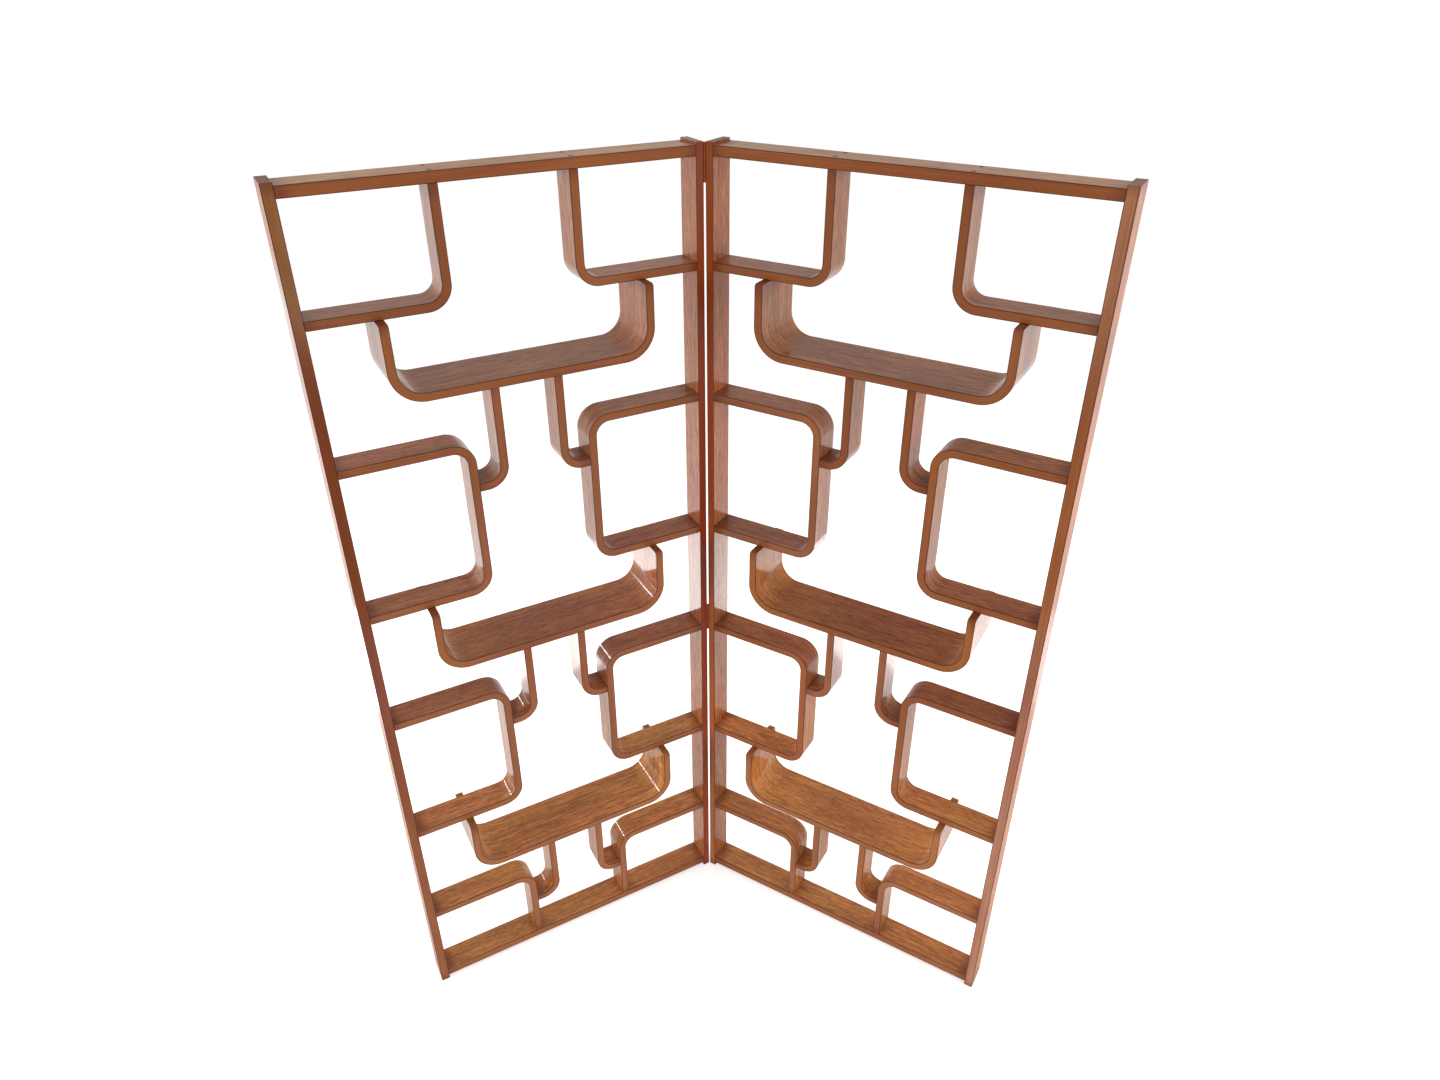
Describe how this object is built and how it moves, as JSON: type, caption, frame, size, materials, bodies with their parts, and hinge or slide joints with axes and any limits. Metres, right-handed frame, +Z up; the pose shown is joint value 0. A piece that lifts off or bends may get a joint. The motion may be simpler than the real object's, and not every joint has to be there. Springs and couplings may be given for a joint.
{
  "type": "room divider",
  "caption": "Tall two-panel folding screen: open wooden frames filled with bent-wood shelves, hangers and hanging trays, joined by butt hinges.",
  "frame": {"origin": "middle of the standing footprint's bounding box, on the floor", "axes": "+Z up; the hollow side of the folded pair faces -Y; +X to the right seen from there; the hinge axis is vertical at x = 0"},
  "size_m": [1.3702, 0.4304, 1.9],
  "materials": {
    "frame_wood": "satin lacquer",
    "bent_wood": "satin lacquer",
    "tray_wood": "satin lacquer with open grain",
    "screw_metal": "darkened",
    "hinge_metal": "aged"
  },
  "bodies": {
    "left_panel": {"left_inner_post": "frame_wood", "left_outer_post": "frame_wood", "left_top_rail": "frame_wood", "left_base_rail": "frame_wood", "left_inner_head_bracket": "bent_wood", "left_inner_upper_cell": "bent_wood", "left_inner_lower_cell": "bent_wood", "left_inner_base_bracket": "bent_wood", "left_inner_upper_hanger": "bent_wood", "left_inner_middle_hanger": "bent_wood", "left_inner_lower_hanger": "bent_wood", "left_outer_head_bracket": "bent_wood", "left_outer_upper_cell": "bent_wood", "left_outer_lower_cell": "bent_wood", "left_outer_base_bracket": "bent_wood", "left_outer_upper_hanger": "bent_wood", "left_outer_middle_hanger": "bent_wood", "left_outer_lower_hanger": "bent_wood", "left_upper_tray": "tray_wood", "left_middle_tray": "tray_wood", "left_lower_tray": "tray_wood", "left_inner_front_rail_screw": "screw_metal", "left_inner_back_rail_screw": "screw_metal", "left_outer_front_rail_screw": "screw_metal", "left_outer_back_rail_screw": "screw_metal", "upper_hinge_left_leaf": "hinge_metal", "lower_hinge_left_leaf": "hinge_metal", "upper_hinge_pin": "hinge_metal", "lower_hinge_pin": "hinge_metal"},
    "right_panel": {"right_inner_post": "frame_wood", "right_outer_post": "frame_wood", "right_top_rail": "frame_wood", "right_base_rail": "frame_wood", "right_inner_head_bracket": "bent_wood", "right_inner_upper_cell": "bent_wood", "right_inner_lower_cell": "bent_wood", "right_inner_base_bracket": "bent_wood", "right_inner_upper_hanger": "bent_wood", "right_inner_middle_hanger": "bent_wood", "right_inner_lower_hanger": "bent_wood", "right_outer_head_bracket": "bent_wood", "right_outer_upper_cell": "bent_wood", "right_outer_lower_cell": "bent_wood", "right_outer_base_bracket": "bent_wood", "right_outer_upper_hanger": "bent_wood", "right_outer_middle_hanger": "bent_wood", "right_outer_lower_hanger": "bent_wood", "right_upper_tray": "tray_wood", "right_middle_tray": "tray_wood", "right_lower_tray": "tray_wood", "right_inner_front_rail_screw": "screw_metal", "right_inner_back_rail_screw": "screw_metal", "right_outer_front_rail_screw": "screw_metal", "right_outer_back_rail_screw": "screw_metal", "upper_hinge_right_leaf": "hinge_metal", "lower_hinge_right_leaf": "hinge_metal"}
  },
  "joints": [
    {"name": "panel_fold", "type": "hinge", "parent": "left_panel", "child": "right_panel", "pos_m": [0, 0.16243, 0.845], "axis": [0, 0, 1], "range_deg": [-90, 60]}
  ]
}
